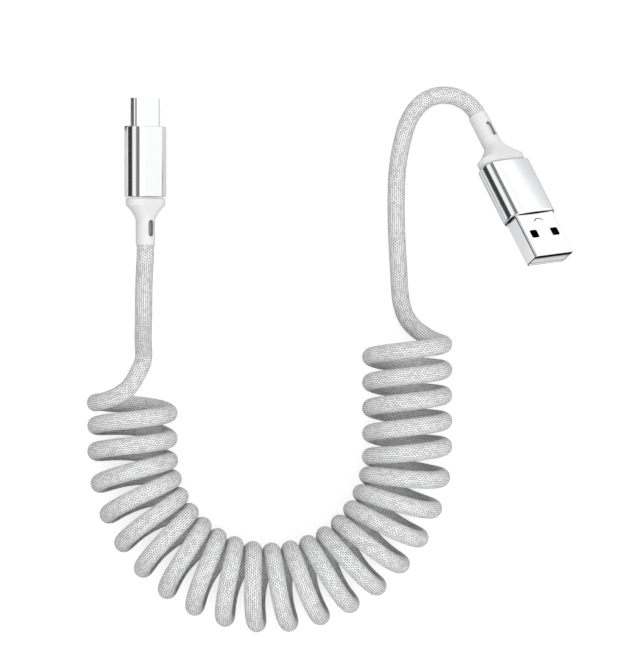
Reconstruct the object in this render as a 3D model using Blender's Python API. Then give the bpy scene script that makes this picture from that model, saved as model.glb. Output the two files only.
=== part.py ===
# Charging cable with a USB-C plug and a USB-A plug on one braided cord, most of it wound into a spring.
# The spring lies on its side and is bent into a U. Both plugs lie beyond the open ends of the U.
# Metres, +Z up. The origin is on the floor, under the middle of the box round the two plugs.

import math

import bmesh
import bpy
from mathutils import Vector

# Clearances
SEAT_GAP = 0.0003  # between pieces that stand face to face
INSERT_GAP = 0.00012  # round a piece pushed into a metal shell

# Cord and its spring
CORD_DIAMETER = 0.0041
TURN_RADIUS = 0.00855  # from the spring's axis to the middle of the cord
BEND_RADIUS = 0.03224  # of the spring's axis, at the bottom of the U
BEND_CENTRE_X = -0.01859
BEND_CENTRE_Y = -0.06301
LEFT_LEG = 0.0139  # straight lengths of the U above its bend
RIGHT_LEG = 0.0269
BEND_STEPS = 20
LEG_STEP = 0.005
CORD_STEP = 0.0025  # between the points of a lead
LEAD_STRAIGHT = 0.0008  # each lead leaves its plug and its end of the spring straight

# USB-C plug, its size
C_SHELL_WIDTH = 0.00825
C_SHELL_HEIGHT = 0.0024
C_SHELL_LENGTH = 0.00665
C_SHELL_WALL = 0.00025
C_SHELL_SEAT = 0.002
C_HOUSING_WIDTH = 0.011
C_HOUSING_HEIGHT = 0.006
C_HOUSING_LENGTH = 0.01664
C_HOUSING_BEVEL = 0.0002
C_INSERT_RECESS = 0.0006  # from the shell's tip back to the plastic
C_TONGUE_WIDTH = 0.0067  # the slot that a port's tongue enters
C_TONGUE_HEIGHT = 0.0008
C_TONGUE_DEPTH = 0.0046
C_RIM_WIDTH = 0.0104
C_RIM_HEIGHT = 0.0055
C_RIM_LENGTH = 0.0016
C_TAPER_LENGTH = 0.0037
C_NECK_LENGTH = 0.0058
C_SLOT_FROM_END = 0.0021

# USB-A plug, its size
A_SHELL_WIDTH = 0.012
A_SHELL_HEIGHT = 0.0045
A_SHELL_LENGTH = 0.01175
A_SHELL_CORNER = 0.0006
A_SHELL_WALL = 0.0003
A_SHELL_SEAT = 0.0025
A_HOLE_WIDTH = 0.0023
A_HOLE_LENGTH = 0.0021
A_HOLE_SPACING = 0.0065
A_HOLE_FROM_TIP = 0.0059
A_HOLE_CORNER = 0.0004
A_TAB_RADIUS = 0.0016  # the curved slit that is punched behind the holes of one side
A_TAB_FROM_TIP = 0.0081
A_TAB_SLIT = 0.00025
A_TAB_HALF_ANGLE = math.radians(55)
A_TAB_STEPS = 10
A_HOUSING_WIDTH = 0.0138
A_HOUSING_HEIGHT = 0.0062
A_HOUSING_CORNER = 0.0021
A_HOUSING_LENGTH = 0.0141
A_HOUSING_BEVEL = 0.0003
A_TONGUE_THICKNESS = 0.0019
A_TONGUE_RECESS = 0.0004
A_CAVITY_DEPTH = 0.0089
A_CONTACT_WIDTH = 0.001
A_CONTACT_THICKNESS = 0.0002
A_CONTACT_RECESS = 0.0008
A_OUTER_CONTACT_LENGTH = 0.0074
A_INNER_CONTACT_LENGTH = 0.0064
A_OUTER_CONTACT_OFFSET = 0.0035
A_INNER_CONTACT_OFFSET = 0.001
A_RIM_WIDTH = 0.0131
A_RIM_HEIGHT = 0.0056
A_RIM_LENGTH = 0.0018
A_TAPER_LENGTH = 0.0039
A_NECK_LENGTH = 0.0083
A_SLOT_FROM_END = 0.0030

# Strain reliefs of both plugs
NECK_DIAMETER = 0.0046
NECK_ROUNDING = 0.0002
TAPER_STEPS = 6
TAPER_POWER = 1.5
SLOT_LENGTH = 0.0038
SLOT_WIDTH = 0.0015
SLOT_DEPTH = 0.0007

# How the plugs lie: the middle of each housing's front, where it faces, and its roll and tilt
C_FRONT_X = -0.04794
C_FRONT_Y = 0.01322
C_HEADING = math.radians(180)
C_ROLL = math.radians(-40)
A_FRONT_X = 0.04215
A_FRONT_Y = -0.00820
A_HEADING = math.radians(26.2)
A_ROLL = math.radians(44)
A_TIP_UP = math.radians(20)
A_CORD_EXIT_HEIGHT = 0.0029  # of the cord's middle where it leaves this plug, which it holds up

CORNER_STEPS = 6
TUBE_RESOLUTION = 2
SPRING_RESOLUTION = 10
ROUTE_PARTS = 16  # straight bits between two points of a lead, before they are evened out
SHARP_ANGLE = math.radians(35)
BEVEL_KNEE = 0.3  # the middle edge of a rounded bevel, as a share of the bevel
LIP_SHARE = 0.4  # the rounded lip at a shell's tip, as a share of its wall

# Points of the two leads between the plugs and the spring, in millimetres
LEFT_LEAD = (
    (-48.1, -19.6, 4.2),
    (-48.3, -23.1, 3.05),
    (-48.4, -27.2, 2.7),
    (-48.4, -31.3, 3.85),
    (-48.4, -34.8, 6.7),
    (-48.3, -38.0, 10.4),
    (-48.1, -40.4, 14.0),
    (-48.4, -42.7, 16.9),
    (-49.4, -44.9, 18.5),
)
RIGHT_LEAD = (
    (28.3, 18.5, 2.1),
    (26.85, 19.5, 2.1),
    (25.2, 20.25, 2.1),
    (23.4, 20.6, 2.1),
    (21.5, 20.6, 2.1),
    (19.7, 20.2, 2.1),
    (17.9, 19.3, 2.1),
    (16.25, 17.9, 2.1),
    (14.85, 16.0, 2.1),
    (13.7, 13.6, 2.1),
    (12.75, 10.4, 2.1),
    (12.0, 7.0, 2.1),
    (11.45, 3.0, 2.1),
    (11.2, -1.5, 2.1),
    (11.15, -6.5, 2.1),
    (11.25, -11.5, 2.1),
    (11.5, -16.5, 2.1),
    (11.75, -21.0, 2.1),
    (12.0, -25.2, 2.1),
    (12.6, -29.3, 2.1),
    (13.8, -32.2, 2.1),
)
LEFT_LEAD_END = (-0.0512, 0.0191)  # x and z where each lead meets its end of the spring
RIGHT_LEAD_END = (0.0165, 0.0026)


def clear_scene():
    for old in list(bpy.data.objects):
        bpy.data.objects.remove(old, do_unlink=True)


def material(name, colour, metallic, roughness):
    made = bpy.data.materials.new(name)
    made.use_nodes = True
    shader = made.node_tree.nodes["Principled BSDF"]
    shader.inputs["Base Color"].default_value = (*colour, 1.0)
    shader.inputs["Metallic"].default_value = metallic
    shader.inputs["Roughness"].default_value = roughness
    return made


def object_of(name, data, parent, finish):
    made = bpy.data.objects.new(name, data)
    bpy.context.scene.collection.objects.link(made)
    made.parent = parent
    data.materials.append(finish)
    return made


def rounded_ring(width, height, corner):
    """Points of a rectangle with round corners, as x and z, once round."""
    points = []
    for quarter, (side, level) in enumerate(((1, 1), (-1, 1), (-1, -1), (1, -1))):
        for step in range(CORNER_STEPS + 1):
            angle = math.radians(90) * (quarter + step / CORNER_STEPS)
            x = side * (width / 2 - corner) + corner * math.cos(angle)
            z = level * (height / 2 - corner) + corner * math.sin(angle)
            points.append((x, z))
    return points


def mesh_of(bm, name):
    """The finished mesh, with its faces out and only its hard edges sharp."""
    bmesh.ops.recalc_face_normals(bm, faces=bm.faces)
    mesh = bpy.data.meshes.new(name)
    bm.to_mesh(mesh)
    bm.free()
    mesh.shade_smooth()
    mesh.set_sharp_from_angle(angle=SHARP_ANGLE)
    return mesh


def loft(name, sections, ring_shaped=False):
    """A mesh over rounded rectangles, each given as (y, width, height, corner). Its ends are capped,
    or joined to each other where it is ring shaped."""
    bm = bmesh.new()
    rings = []
    for y, width, height, corner in sections:
        points = rounded_ring(width, height, corner)
        rings.append([bm.verts.new((x, y, z)) for x, z in points])
    pairs = list(zip(rings, rings[1:]))
    if ring_shaped:
        pairs.append((rings[-1], rings[0]))
    else:
        bm.faces.new(rings[0])
        bm.faces.new(rings[-1])
    for first, second in pairs:
        for k in range(len(first)):
            after = (k + 1) % len(first)
            bm.faces.new((first[k], first[after], second[after], second[k]))
    return mesh_of(bm, name)


def prism(name, outline, low, high, upright=False):
    """A mesh from an outline of (y, z) points drawn out along X, or of (x, y) points along Z."""
    bm = bmesh.new()
    if upright:
        corners = [(x, y, low) for x, y in outline]
        draw = Vector((0, 0, high - low))
    else:
        corners = [(low, y, z) for y, z in outline]
        draw = Vector((high - low, 0, 0))
    face = bm.faces.new([bm.verts.new(corner) for corner in corners])
    drawn = bmesh.ops.extrude_face_region(bm, geom=[face])
    moved = [item for item in drawn["geom"] if isinstance(item, bmesh.types.BMVert)]
    bmesh.ops.translate(bm, verts=moved, vec=draw)
    return mesh_of(bm, name)


def cut(target, cutter):
    """Takes the cutter's shape out of the target."""
    cutter.hide_render = True
    cutter.display_type = "WIRE"
    boolean = target.modifiers.new("cut", "BOOLEAN")
    boolean.operation = "DIFFERENCE"
    boolean.object = cutter


def housing(name, parent, finish, width, height, corner, length, bevel, pocket):
    """A metal sleeve, solid behind the pocket that holds the shell. Its front is at y = 0."""
    pocket_width, pocket_height, pocket_corner, pocket_depth = pocket
    knee = BEVEL_KNEE * bevel
    sections = (
        (length, width, height, corner),
        (bevel, width, height, corner),
        (knee, width - 2 * knee, height - 2 * knee, corner - knee),
        (0, width - 2 * bevel, height - 2 * bevel, corner - bevel),
        (0, pocket_width, pocket_height, pocket_corner),
        (pocket_depth, pocket_width, pocket_height, pocket_corner),
    )
    return object_of(name, loft(name, sections), parent, finish)


def shell_tube(name, parent, finish, width, height, corner, wall, tip_y, root_y):
    """A thin metal tube with a lip at its tip that is rounded off outside."""
    lip = wall * LIP_SHARE
    sections = (
        (root_y, width, height, corner),
        (tip_y + lip, width, height, corner),
        (tip_y, width - 2 * lip, height - 2 * lip, corner - lip),
        (tip_y, width - 2 * wall, height - 2 * wall, corner - wall),
        (root_y, width - 2 * wall, height - 2 * wall, corner - wall),
    )
    return object_of(name, loft(name, sections, ring_shaped=True), parent, finish)


def relief(name, parent, finish, start_y, rim, rim_length, taper_length, neck_length, slot_from_end):
    """The moulded sleeve behind a housing: a rim of the housing's form that narrows to a round neck."""
    rim_width, rim_height = rim
    sections = [(start_y, rim_width, rim_height, rim_height / 2)]
    for step in range(TAPER_STEPS + 1):
        along = step / TAPER_STEPS
        left = (1 - along) ** TAPER_POWER
        width = NECK_DIAMETER + (rim_width - NECK_DIAMETER) * left
        height = NECK_DIAMETER + (rim_height - NECK_DIAMETER) * left
        sections.append((start_y + rim_length + along * taper_length, width, height, height / 2))
    end_y = start_y + rim_length + taper_length + neck_length
    end_diameter = NECK_DIAMETER - 2 * NECK_ROUNDING
    sections.append((end_y - NECK_ROUNDING, NECK_DIAMETER, NECK_DIAMETER, NECK_DIAMETER / 2))
    sections.append((end_y, end_diameter, end_diameter, end_diameter / 2))
    made = object_of(name, loft(name, sections), parent, finish)
    slot_name = name + "_slot_cutter"
    floor_z = NECK_DIAMETER / 2 - SLOT_DEPTH
    outline = rounded_ring(SLOT_WIDTH, SLOT_LENGTH, SLOT_WIDTH / 2)
    slot = prism(slot_name, outline, floor_z, floor_z + 2 * SLOT_DEPTH, upright=True)
    cutter = object_of(slot_name, slot, parent, finish)
    cutter.location = (0, end_y - slot_from_end - SLOT_LENGTH / 2, 0)
    cut(made, cutter)
    return end_y


def plug_empty(name, place, heading, roll, tip_up):
    """What a plug's pieces hang on: its origin is the middle of the housing's front, the tip is at -Y."""
    empty = bpy.data.objects.new(name, None)
    bpy.context.scene.collection.objects.link(empty)
    empty.rotation_mode = "YXZ"
    empty.rotation_euler = (-tip_up, roll, heading)
    empty.location = place
    return empty


def half_height(width, height, corner, roll):
    """From a rolled rounded rectangle's middle down to its lowest point."""
    across = (width / 2 - corner) * abs(math.sin(roll))
    upright = (height / 2 - corner) * abs(math.cos(roll))
    return across + upright + corner


def usb_c_plug(metal, plastic, white):
    rest_height = half_height(C_HOUSING_WIDTH, C_HOUSING_HEIGHT, C_HOUSING_HEIGHT / 2, C_ROLL)
    place = Vector((C_FRONT_X, C_FRONT_Y, rest_height))
    plug = plug_empty("usb_c_plug", place, C_HEADING, C_ROLL, 0)

    pocket_width = C_SHELL_WIDTH + 2 * SEAT_GAP
    pocket_height = C_SHELL_HEIGHT + 2 * SEAT_GAP
    pocket = (pocket_width, pocket_height, pocket_height / 2, C_SHELL_SEAT)
    housing("usb_c_housing", plug, metal, C_HOUSING_WIDTH, C_HOUSING_HEIGHT, C_HOUSING_HEIGHT / 2,
            C_HOUSING_LENGTH, C_HOUSING_BEVEL, pocket)

    root_y = C_SHELL_SEAT - SEAT_GAP
    shell_tube("usb_c_shell", plug, metal, C_SHELL_WIDTH, C_SHELL_HEIGHT, C_SHELL_HEIGHT / 2,
               C_SHELL_WALL, -C_SHELL_LENGTH, root_y)

    width = C_SHELL_WIDTH - 2 * C_SHELL_WALL - 2 * INSERT_GAP
    height = C_SHELL_HEIGHT - 2 * C_SHELL_WALL - 2 * INSERT_GAP
    front_y = -C_SHELL_LENGTH + C_INSERT_RECESS
    sections = (
        (root_y, width, height, height / 2),
        (front_y, width, height, height / 2),
        (front_y, C_TONGUE_WIDTH, C_TONGUE_HEIGHT, C_TONGUE_HEIGHT / 2),
        (front_y + C_TONGUE_DEPTH, C_TONGUE_WIDTH, C_TONGUE_HEIGHT, C_TONGUE_HEIGHT / 2),
    )
    object_of("usb_c_insulator", loft("usb_c_insulator", sections), plug, plastic)

    end_y = relief("usb_c_relief", plug, white, C_HOUSING_LENGTH + SEAT_GAP, (C_RIM_WIDTH, C_RIM_HEIGHT),
                   C_RIM_LENGTH, C_TAPER_LENGTH, C_NECK_LENGTH, C_SLOT_FROM_END)
    return plug, end_y


def tab_slit():
    """The outline of a thin arc whose ends point to the tip, as x and y about the arc's centre."""
    inner, outer = [], []
    for step in range(A_TAB_STEPS + 1):
        angle = A_TAB_HALF_ANGLE * (2 * step / A_TAB_STEPS - 1)
        direction = (math.sin(angle), math.cos(angle))
        inner.append(tuple(A_TAB_RADIUS * part for part in direction))
        outer.append(tuple((A_TAB_RADIUS + A_TAB_SLIT) * part for part in direction))
    return inner + outer[::-1]


def usb_a_shell(plug, metal):
    root_y = A_SHELL_SEAT - SEAT_GAP
    shell = shell_tube("usb_a_shell", plug, metal, A_SHELL_WIDTH, A_SHELL_HEIGHT, A_SHELL_CORNER,
                       A_SHELL_WALL, -A_SHELL_LENGTH, root_y)
    outside = A_SHELL_HEIGHT / 2 + A_SHELL_WALL
    hole = rounded_ring(A_HOLE_WIDTH, A_HOLE_LENGTH, A_HOLE_CORNER)
    for side, word in ((-1, "left"), (1, "right")):
        name = f"usb_a_hole_cutter_{word}"
        cutter = object_of(name, prism(name, hole, -outside, outside, upright=True), plug, metal)
        cutter.location = (side * A_HOLE_SPACING / 2, A_HOLE_FROM_TIP - A_SHELL_LENGTH, 0)
        cut(shell, cutter)
    name = "usb_a_tab_cutter"
    cutter = object_of(name, prism(name, tab_slit(), 0, outside, upright=True), plug, metal)
    cutter.location = (0, A_TAB_FROM_TIP - A_SHELL_LENGTH, 0)
    cut(shell, cutter)


def usb_a_tongue(plug, plastic):
    """The plastic in the shell: a block at its root and a shelf along its lower half."""
    root_y = A_SHELL_SEAT - SEAT_GAP
    half = A_SHELL_WIDTH / 2 - A_SHELL_WALL - INSERT_GAP
    top = A_SHELL_HEIGHT / 2 - A_SHELL_WALL - INSERT_GAP
    front_y = -A_SHELL_LENGTH + A_TONGUE_RECESS
    step_y = -A_SHELL_LENGTH + A_CAVITY_DEPTH
    shelf = -top + A_TONGUE_THICKNESS
    outline = ((root_y, -top), (root_y, top), (step_y, top), (step_y, shelf),
               (front_y, shelf), (front_y, -top))
    object_of("usb_a_tongue", prism("usb_a_tongue", outline, -half, half), plug, plastic)
    return shelf


def usb_a_contacts(plug, shelf, gold):
    front_y = -A_SHELL_LENGTH + A_TONGUE_RECESS + A_CONTACT_RECESS
    low = shelf + INSERT_GAP
    high = low + A_CONTACT_THICKNESS
    rows = (
        (-A_OUTER_CONTACT_OFFSET, A_OUTER_CONTACT_LENGTH),
        (-A_INNER_CONTACT_OFFSET, A_INNER_CONTACT_LENGTH),
        (A_INNER_CONTACT_OFFSET, A_INNER_CONTACT_LENGTH),
        (A_OUTER_CONTACT_OFFSET, A_OUTER_CONTACT_LENGTH),
    )
    for number, (middle, length) in enumerate(rows, start=1):
        name = f"usb_a_contact_{number}"
        back_y = -A_SHELL_LENGTH + A_CAVITY_DEPTH - SEAT_GAP
        start_y = max(front_y, back_y - length)
        outline = ((start_y, low), (back_y, low), (back_y, high), (start_y, high))
        mesh = prism(name, outline, middle - A_CONTACT_WIDTH / 2, middle + A_CONTACT_WIDTH / 2)
        object_of(name, mesh, plug, gold)


def usb_a_plug(metal, plastic, white, gold):
    length = A_HOUSING_LENGTH + SEAT_GAP + A_RIM_LENGTH + A_TAPER_LENGTH + A_NECK_LENGTH
    height = A_CORD_EXIT_HEIGHT + length * math.sin(A_TIP_UP)
    place = Vector((A_FRONT_X, A_FRONT_Y, height))
    plug = plug_empty("usb_a_plug", place, A_HEADING, A_ROLL, A_TIP_UP)

    pocket = (A_SHELL_WIDTH + 2 * SEAT_GAP, A_SHELL_HEIGHT + 2 * SEAT_GAP,
              A_SHELL_CORNER + SEAT_GAP, A_SHELL_SEAT)
    housing("usb_a_housing", plug, metal, A_HOUSING_WIDTH, A_HOUSING_HEIGHT, A_HOUSING_CORNER,
            A_HOUSING_LENGTH, A_HOUSING_BEVEL, pocket)
    usb_a_shell(plug, metal)
    shelf = usb_a_tongue(plug, plastic)
    usb_a_contacts(plug, shelf, gold)
    end_y = relief("usb_a_relief", plug, white, A_HOUSING_LENGTH + SEAT_GAP, (A_RIM_WIDTH, A_RIM_HEIGHT),
                   A_RIM_LENGTH, A_TAPER_LENGTH, A_NECK_LENGTH, A_SLOT_FROM_END)
    return plug, end_y


def smooth_route(points, step):
    """Points an even step apart on a smooth curve through the given points."""
    padded = [2 * points[0] - points[1], *points, 2 * points[-1] - points[-2]]
    fine = []
    for p0, p1, p2, p3 in zip(padded, padded[1:], padded[2:], padded[3:]):
        for k in range(ROUTE_PARTS):
            t = k / ROUTE_PARTS
            bend = (2 * p0 - 5 * p1 + 4 * p2 - p3) * t * t + (3 * p1 - p0 - 3 * p2 + p3) * t ** 3
            fine.append(p1 + ((p2 - p0) * t + bend) / 2)
    fine.append(points[-1])
    total = sum((b - a).length for a, b in zip(fine, fine[1:]))
    count = max(2, round(total / step))
    route = [fine[0]]
    walked = 0.0
    for a, b in zip(fine, fine[1:]):
        piece = (b - a).length
        while len(route) < count and walked + piece >= len(route) * total / count:
            share = (len(route) * total / count - walked) / piece
            route.append(a.lerp(b, share))
        walked += piece
    route.append(fine[-1])
    return route


def tube(name, points, diameter, resolution, finish):
    data = bpy.data.curves.new(name, "CURVE")
    data.dimensions = "3D"
    data.twist_mode = "Z_UP"
    data.bevel_depth = diameter / 2
    data.bevel_resolution = resolution
    data.use_fill_caps = True
    spline = data.splines.new("POLY")
    spline.points.add(len(points) - 1)
    for target, point in zip(spline.points, points):
        target.co = (*point, 1.0)
    return object_of(name, data, None, finish)


def spring_axis():
    """The U: down its left leg, round the bend and up its right leg."""
    height = TURN_RADIUS + CORD_DIAMETER / 2
    centre = Vector((BEND_CENTRE_X, BEND_CENTRE_Y, height))
    points = []
    left_steps = round(LEFT_LEG / LEG_STEP)
    right_steps = round(RIGHT_LEG / LEG_STEP)
    for k in range(left_steps):
        points.append(centre + Vector((-BEND_RADIUS, LEFT_LEG * (1 - k / left_steps), 0)))
    for k in range(BEND_STEPS + 1):
        angle = math.pi * (1 + k / BEND_STEPS)
        points.append(centre + BEND_RADIUS * Vector((math.cos(angle), math.sin(angle), 0)))
    for k in range(1, right_steps + 1):
        points.append(centre + Vector((BEND_RADIUS, RIGHT_LEG * k / right_steps, 0)))
    return points


def lead_route(plug, end_y, lead, spring_end):
    """From the strain relief's end, through the lead's own points, to the spring's end."""
    bpy.context.view_layer.update()
    start = plug.matrix_world @ Vector((0, end_y + SEAT_GAP, 0))
    after_start = plug.matrix_world @ Vector((0, end_y + SEAT_GAP + LEAD_STRAIGHT, 0))
    middle = [Vector(point) / 1000 for point in lead]
    before_end = spring_end + Vector((0, LEAD_STRAIGHT, 0))
    return [start, *smooth_route([after_start, *middle, before_end], CORD_STEP), spring_end]


def main():
    clear_scene()
    metal = material("polished_metal", (0.78, 0.79, 0.80), 1.0, 0.12)
    white = material("white_plastic", (0.86, 0.86, 0.87), 0.0, 0.45)
    plastic = material("grey_plastic", (0.62, 0.62, 0.63), 0.0, 0.5)
    black = material("black_plastic", (0.03, 0.03, 0.03), 0.0, 0.5)
    gold = material("gilt_contact", (0.85, 0.66, 0.32), 1.0, 0.25)
    braid = material("grey_braid", (0.66, 0.66, 0.66), 0.0, 0.7)

    c_plug, c_end = usb_c_plug(metal, black, white)
    a_plug, a_end = usb_a_plug(metal, plastic, white, gold)

    axis = spring_axis()
    tube("spring_coil", axis, 2 * TURN_RADIUS + CORD_DIAMETER, SPRING_RESOLUTION, braid)

    left_end = Vector((LEFT_LEAD_END[0], axis[0].y + SEAT_GAP, LEFT_LEAD_END[1]))
    left = lead_route(c_plug, c_end, LEFT_LEAD, left_end)
    tube("usb_c_lead", left, CORD_DIAMETER, TUBE_RESOLUTION, braid)
    right_end = Vector((RIGHT_LEAD_END[0], axis[-1].y + SEAT_GAP, RIGHT_LEAD_END[1]))
    right = lead_route(a_plug, a_end, RIGHT_LEAD, right_end)
    tube("usb_a_lead", right, CORD_DIAMETER, TUBE_RESOLUTION, braid)


main()
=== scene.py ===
# Charging cable on one braided cord, wound into a spring: its looks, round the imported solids.
# Metres, +Z up. The cable lies on the floor at z = 0 and the camera looks straight down on it.
import math
import bpy
import numpy as np
from mathutils import Euler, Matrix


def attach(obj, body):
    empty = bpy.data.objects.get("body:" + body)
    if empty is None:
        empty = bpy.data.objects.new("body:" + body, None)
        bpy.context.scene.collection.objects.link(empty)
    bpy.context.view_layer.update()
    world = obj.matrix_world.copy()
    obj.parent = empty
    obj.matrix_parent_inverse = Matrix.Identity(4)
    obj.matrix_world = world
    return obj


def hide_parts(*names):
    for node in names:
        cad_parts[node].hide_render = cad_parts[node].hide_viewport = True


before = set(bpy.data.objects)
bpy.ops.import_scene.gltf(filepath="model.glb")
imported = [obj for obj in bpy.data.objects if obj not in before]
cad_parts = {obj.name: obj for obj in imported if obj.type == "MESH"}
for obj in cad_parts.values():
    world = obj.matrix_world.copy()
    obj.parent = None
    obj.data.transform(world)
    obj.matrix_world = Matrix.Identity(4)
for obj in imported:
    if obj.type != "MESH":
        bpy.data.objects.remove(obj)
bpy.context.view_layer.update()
print("frame loaded, solids:", len(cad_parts))


def smoothFaces(mesh, sharpFrom=40):   # edges that turn by more degrees than this stay sharp
    mesh.shade_smooth()
    mesh.set_sharp_from_angle(angle=math.radians(sharpFrom))


# From 0 to 1 with no kink at either end: three times the square less twice the cube.
def eased(share):
    return share * share * (3 - 2 * share)


# Quads between neighbours of a grid of points, rows by columns. Columns run once round and close.
# Rows close too where looped, and otherwise each end gets one face as its cap. With lengthUv the
# mesh has a map for the braid: across it is the share of the way round, up it the metres along.
def gridMesh(name, grid, looped=False, lengthUv=None):
    rows, columns = grid.shape[:2]
    index = np.arange(rows * columns).reshape(rows, columns)
    here = index if looped else index[:-1]
    there = np.roll(index, -1, axis=0) if looped else index[1:]
    quads = np.stack([here, np.roll(here, -1, axis=1), np.roll(there, -1, axis=1), there], axis=-1)
    faces = quads.reshape(-1, 4).tolist()
    if not looped:
        faces += [index[0, ::-1].tolist(), index[-1].tolist()]
    mesh = bpy.data.meshes.new(name)
    mesh.from_pydata(grid.reshape(-1, 3), [], faces)
    if lengthUv is not None:
        aroundStep = np.arange(columns) / columns
        left = np.broadcast_to(aroundStep, (rows - 1, columns))
        right = left + 1 / columns
        low = np.broadcast_to(lengthUv[:-1, None], (rows - 1, columns))
        high = np.broadcast_to(lengthUv[1:, None], (rows - 1, columns))
        corners = np.stack([np.stack([left, low], -1), np.stack([right, low], -1),
                            np.stack([right, high], -1), np.stack([left, high], -1)], axis=2)
        flat = np.zeros((len(mesh.loops), 2))
        flat[:corners.size // 2] = corners.reshape(-1, 2)
        mesh.uv_layers.new(name="braidUv").data.foreach_set("uv", flat.ravel())
    mesh.validate()
    smoothFaces(mesh)
    return mesh


# A loft: rows of (y, width, height, corner), each a rounded rectangle in x and z. A point is the
# corner's middle plus the corner's radius turned by an angle; on an edge the middle slides across.
# A crown pulls the rectangle's corners in by its share, so that its flat sides bulge a little.
def loftGrid(rows, crown=(0.0, 0.0), arcSteps=20, longSteps=24, shortSteps=12):
    turn, sideX, sideZ = [], [], []
    corners = ((1, 1), (-1, 1), (-1, -1), (1, -1))
    for quarter, (x, z) in enumerate(corners):
        arc = (quarter + np.linspace(0, 1, arcSteps + 1)) * math.pi / 2
        nextX, nextZ = corners[(quarter + 1) % 4]
        count = longSteps if nextX != x else shortSteps
        arc = arc if count else arc[:-1]
        share = np.arange(1, count) / max(count, 1)
        turn += [arc, np.full(len(share), arc[-1])]
        sideX += [np.full(len(arc), float(x)), x + (nextX - x) * share]
        sideZ += [np.full(len(arc), float(z)), z + (nextZ - z) * share]
    turn, sideX, sideZ = (np.concatenate(part) for part in (turn, sideX, sideZ))
    y, width, height, corner = (np.array(part)[:, None] for part in zip(*rows))
    x = sideX * (width / 2 - corner) + corner * np.cos(turn)
    z = sideZ * (height / 2 - corner) + corner * np.sin(turn)
    bulgedX = x * (1 - crown[0] * (2 * z / height) ** 2)
    bulgedZ = z * (1 - crown[1] * (2 * x / width) ** 2)
    return np.stack([bulgedX, np.broadcast_to(y, x.shape), bulgedZ], axis=-1)


# A profile of corners (y, share, radius) with each corner rounded: the curve leaves one side a
# radius before the corner and joins the next a radius after it. A share of 0 is the outer ring of
# a sleeve and 1 the inner one, which lies a gap further in. Straight parts get more points, two of
# them close to the roundings so that the shading stays flat between.
def roundedProfile(corners, gap, steps=5, closed=False, spacing=0.0012, guard=0.00006):
    points = np.array([(y, share * gap) for y, share, _ in corners])
    t = np.linspace(0, 1, steps + 1)[:, None]
    bends = []
    for k, (_, _, radius) in enumerate(corners):
        if not closed and k in (0, len(corners) - 1):
            bends.append(points[k:k + 1])
            continue
        before = points[k - 1] - points[k]
        after = points[(k + 1) % len(points)] - points[k]
        first = points[k] + before / np.linalg.norm(before) * radius
        last = points[k] + after / np.linalg.norm(after) * radius
        bends.append((1 - t) ** 2 * first + 2 * t * (1 - t) * points[k] + t ** 2 * last)
    made = []
    for here, there in zip(bends, bends[1:] + bends[:1]):
        made.append(here)
        reach = np.linalg.norm(there[0] - here[-1])
        if reach > 3 * guard and (closed or there is not bends[0]):
            inner = np.linspace(guard / reach, 1 - guard / reach, max(2, round(reach / spacing)))
            made.append(here[-1] + (there[0] - here[-1]) * inner[:, None])
    profile = np.concatenate(made)
    profile[:, 1] /= gap
    return profile


# The rows of a sleeve: its profile between an outer and an inner (width, height, corner).
def sleeveRows(profile, outer, inner):
    outer, inner = np.array(outer), np.array(inner)
    return [(y, *(outer + (inner - outer) * share)) for y, share in profile]


# From a plug's own space into the cable's: turned by its matrix, then moved to its origin.
def placed(points, space):
    turn, origin = space
    return points @ turn.T + origin


def addPiece(name, mesh, material, replaced=()):
    piece = bpy.data.objects.new(name, mesh)
    bpy.context.scene.collection.objects.link(piece)
    mesh.materials.append(material)
    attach(piece, "root")
    if replaced:
        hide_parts(*replaced)
    return piece


def newNode(tree, kind, **values):
    node = tree.nodes.new(kind)
    for key, value in values.items():
        setattr(node, key, value)
    return node


def wire(tree, value, socket):   # a socket is joined, a number is written into it
    if isinstance(value, bpy.types.NodeSocket):
        tree.links.new(value, socket)
    else:
        socket.default_value = value


def calc(tree, operation, first, second=0.0, third=0.0, clamp=False):
    node = newNode(tree, "ShaderNodeMath", operation=operation, use_clamp=clamp)
    for value, socket in zip((first, second, third), node.inputs):
        wire(tree, value, socket)
    return node.outputs[0]


def blendColour(tree, factor, first, second):
    node = newNode(tree, "ShaderNodeMix", data_type="RGBA")
    wire(tree, factor, node.inputs["Factor"])
    wire(tree, first, node.inputs["A"])
    wire(tree, second, node.inputs["B"])
    return node.outputs["Result"]


def rangeOf(tree, value, fromLow, fromHigh, toLow, toHigh, smooth=False):
    node = newNode(tree, "ShaderNodeMapRange")
    if smooth:
        node.interpolation_type = "SMOOTHSTEP"
    labels = ("From Min", "From Max", "To Min", "To Max")
    for label, number in zip(labels, (fromLow, fromHigh, toLow, toHigh)):
        node.inputs[label].default_value = number
    tree.links.new(value, node.inputs["Value"])
    return node.outputs["Result"]


def newMaterial(name):
    material = bpy.data.materials.new(name)
    material.use_nodes = True
    tree = material.node_tree
    return material, tree, tree.nodes["Principled BSDF"]


camera = {
    "target": (-0.00682, -0.03454),   # what the middle of the photo shows
    "height": 1.6,
    "lens": 370.5,
    "sensor": 36.0,
    "clipEnd": 20,
}


def makeCamera():
    data = bpy.data.cameras.new("photoCamera")
    data.lens = camera["lens"]
    data.sensor_width = camera["sensor"]
    data.clip_end = camera["clipEnd"]
    holder = bpy.data.objects.new("photoCamera", data)
    bpy.context.scene.collection.objects.link(holder)
    holder.location = (*camera["target"], camera["height"])
    bpy.context.scene.camera = holder


makeCamera()
print("camera made")


# The two plugs' own spaces: the origin is the middle of a housing's front, the tip is at -y.
plugPlaces = {
    "usbC": {"front": (-0.04794, 0.01322, 0.004607), "tipUp": 0.0, "roll": -40.0, "heading": 180.0},
    "usbA": {"front": (0.04215, -0.00820, 0.012613), "tipUp": 20.0, "roll": 44.0, "heading": 26.2},
}


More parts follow.
